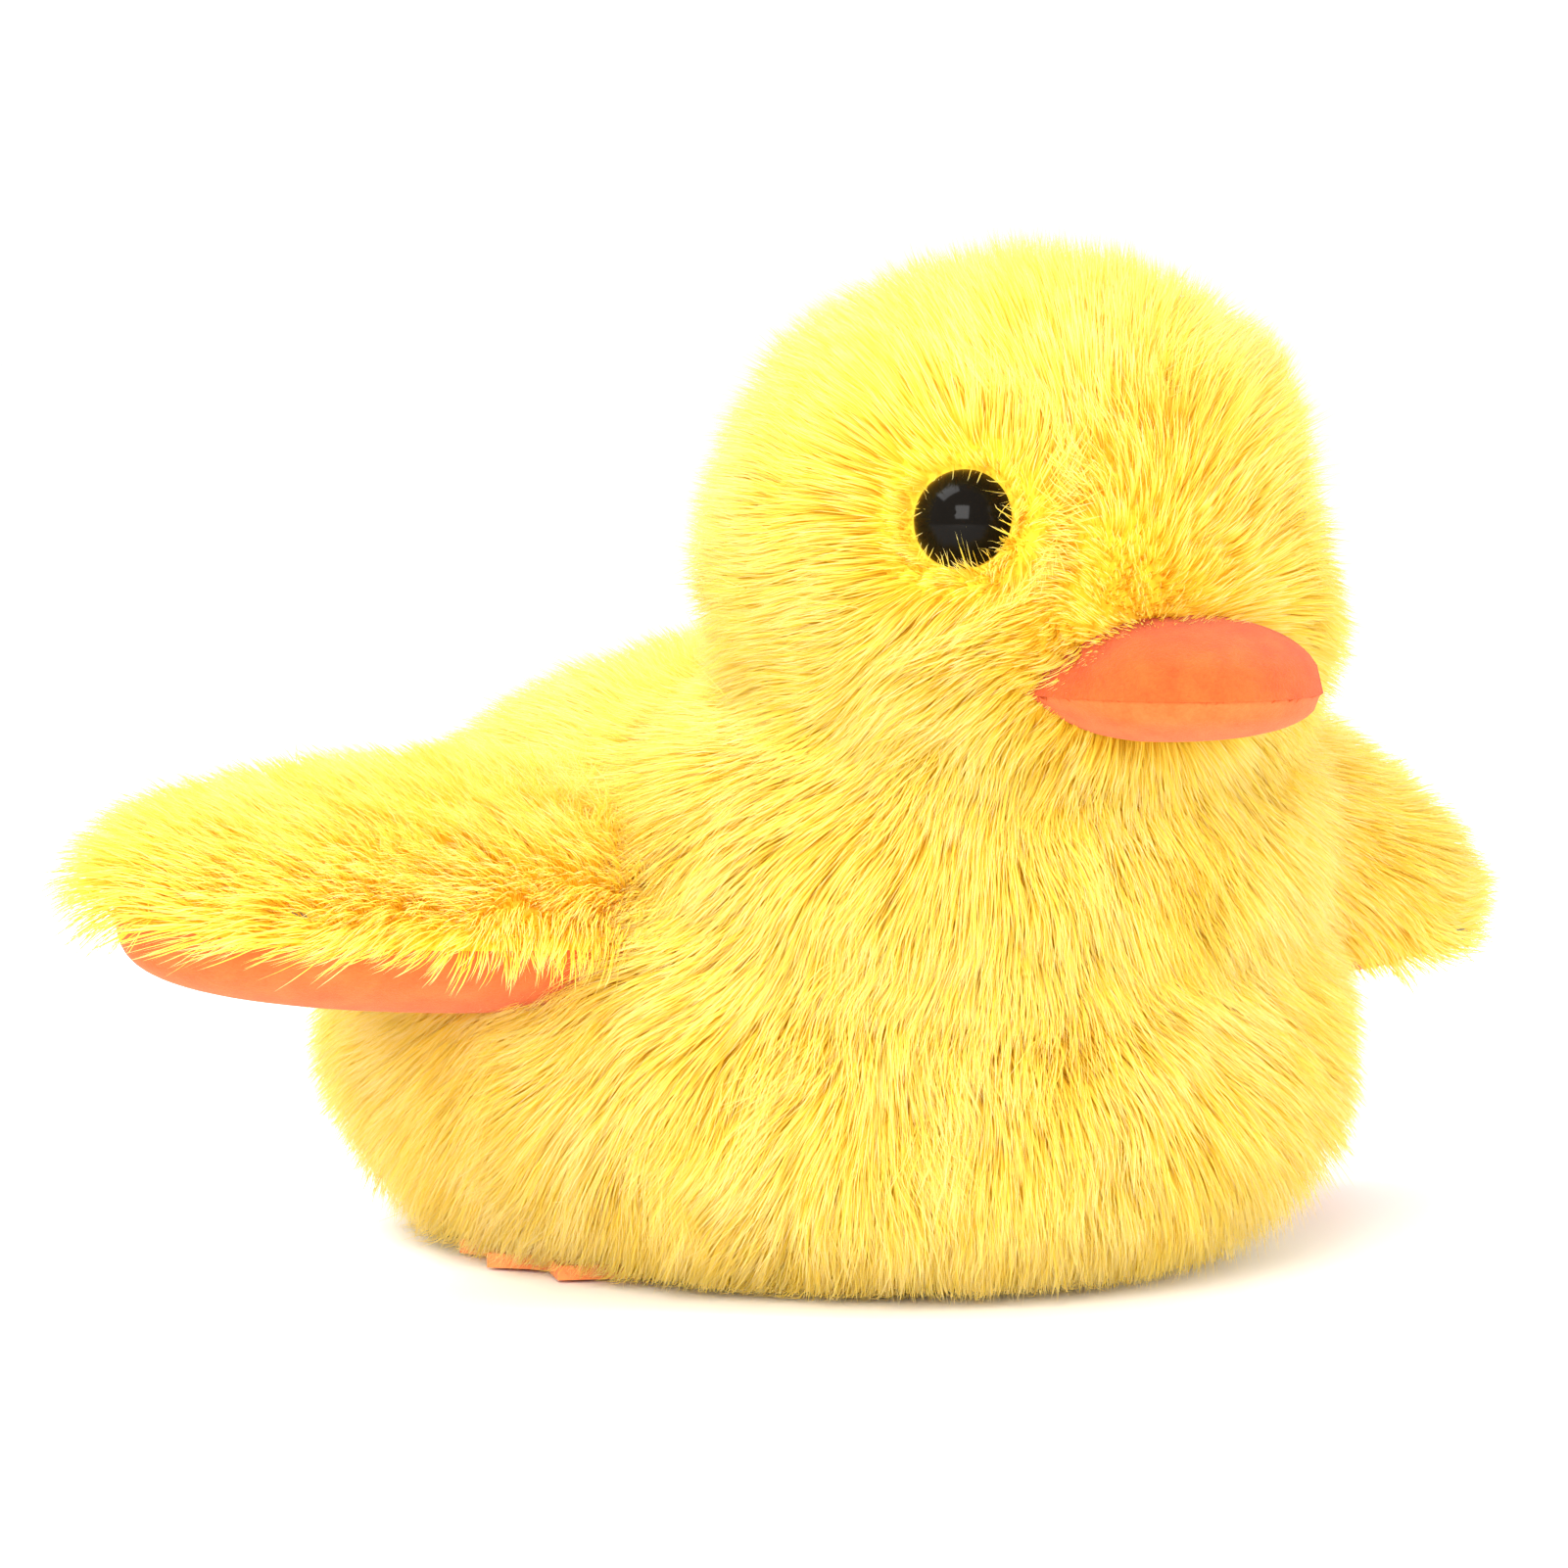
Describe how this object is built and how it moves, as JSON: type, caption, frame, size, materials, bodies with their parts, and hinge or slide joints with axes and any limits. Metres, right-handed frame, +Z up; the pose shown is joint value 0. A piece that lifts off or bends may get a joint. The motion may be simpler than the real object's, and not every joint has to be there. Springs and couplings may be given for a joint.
{
  "type": "wind-up hopping plush duckling",
  "caption": "Soft plush duckling over a wind-up motor: turning the side knob drives gears and a cam that push a hinged foot plate down and flap both stuffed wings.",
  "frame": {"origin": "middle of the toy seen from above (its bounding box), on the surface it stands on", "axes": "+Z up from the surface it stands on, -Y the way the bill points, +X the duckling's left wing"},
  "size_m": [0.143, 0.1075, 0.0835],
  "materials": {
    "yellow_fur": "long pile polyester fur",
    "orange_felt": "short nap polyester felt",
    "orange_fleece": "brushed fleece",
    "polyester_wadding": "loose polyester fibre",
    "black_eye": "polished",
    "white_plastic": "moulded, fine grain",
    "orange_plastic": "moulded, satin",
    "grey_plastic": "moulded, satin",
    "gear_plastic": "acetal, satin",
    "steel": "ground",
    "spring_steel": "blued"
  },
  "bodies": {
    "chassis": {"base_plate": "white_plastic", "foot_hinge_pin": "steel", "left_gear_plate": "grey_plastic", "right_gear_plate": "grey_plastic", "spacer_post_1": "steel", "plate_screw_1": "steel", "spacer_post_2": "steel", "plate_screw_2": "steel", "spacer_post_3": "steel", "plate_screw_3": "steel", "spacer_post_4": "steel", "plate_screw_4": "steel", "mainspring": "spring_steel", "spring_post": "steel", "front_wing_bracket": "grey_plastic", "rear_wing_bracket": "grey_plastic", "left_wing_pin": "steel", "right_wing_pin": "steel", "shaft_grommet": "white_plastic", "body_cover": "yellow_fur", "body_stuffing": "polyester_wadding", "head_cover": "yellow_fur", "head_stuffing": "polyester_wadding", "bill_upper": "orange_fleece", "bill_lower": "orange_fleece", "left_eye": "black_eye", "right_eye": "black_eye", "left_eye_washer": "white_plastic", "right_eye_washer": "white_plastic"},
    "winding": {"winding_arbor": "steel", "great_wheel": "gear_plastic", "winding_knob": "orange_plastic"},
    "crank": {"crankshaft": "steel", "crank_pinion": "gear_plastic", "crank_wheel": "gear_plastic", "lifter_cam": "grey_plastic"},
    "escape": {"escape_shaft": "steel", "escape_pinion": "gear_plastic", "escape_wheel": "gear_plastic"},
    "governor": {"governor_shaft": "steel", "governor_weight": "gear_plastic"},
    "lifter": {"lifter": "grey_plastic"},
    "hop_foot": {"hop_foot": "orange_plastic"},
    "left_wing": {"left_wing_arm": "grey_plastic", "left_wing_fur": "yellow_fur", "left_wing_felt": "orange_felt", "left_wing_wadding": "polyester_wadding"},
    "right_wing": {"right_wing_arm": "grey_plastic", "right_wing_fur": "yellow_fur", "right_wing_felt": "orange_felt", "right_wing_wadding": "polyester_wadding"}
  },
  "joints": [
    {"name": "winding_turn", "type": "hinge", "parent": "chassis", "child": "winding", "pos_m": [0, 0.009, 0.016], "axis": [1, 0, 0], "continuous": true},
    {"name": "crank_turn", "type": "hinge", "parent": "chassis", "child": "crank", "pos_m": [0, -0.00501, 0.01975], "axis": [1, 0, 0], "continuous": true},
    {"name": "escape_turn", "type": "hinge", "parent": "chassis", "child": "escape", "pos_m": [0, -0.01561, 0.01975], "axis": [1, 0, 0], "continuous": true},
    {"name": "governor_rock", "type": "hinge", "parent": "chassis", "child": "governor", "pos_m": [0, -0.01561, 0.01295], "axis": [1, 0, 0], "range_deg": [-8, 8]},
    {"name": "lifter_slide", "type": "slide", "parent": "chassis", "child": "lifter", "axis": [0, 0, 1], "range_m": [-0.0038, 0]},
    {"name": "foot_swing", "type": "hinge", "parent": "chassis", "child": "hop_foot", "pos_m": [0, 0.02, 0.0018], "axis": [1, 0, 0], "range_deg": [0, 8.75]},
    {"name": "left_wing_flap", "type": "hinge", "parent": "chassis", "child": "left_wing", "pos_m": [0.014, -0.00501, 0.035], "axis": [0, -1, 0], "range_deg": [0, 23.59]},
    {"name": "right_wing_flap", "type": "hinge", "parent": "chassis", "child": "right_wing", "pos_m": [-0.014, -0.00501, 0.035], "axis": [0, 1, 0], "range_deg": [0, 23.59]}
  ],
  "couplings": [
    {"joint": "crank_turn", "follows": "winding_turn", "ratio": -3},
    {"joint": "escape_turn", "follows": "winding_turn", "ratio": 7.5},
    {"joint": "foot_swing", "follows": "lifter_slide", "rad_per_m": -40.147},
    {"joint": "left_wing_flap", "follows": "lifter_slide", "rad_per_m": -108.29},
    {"joint": "right_wing_flap", "follows": "lifter_slide", "rad_per_m": -108.29}
  ]
}
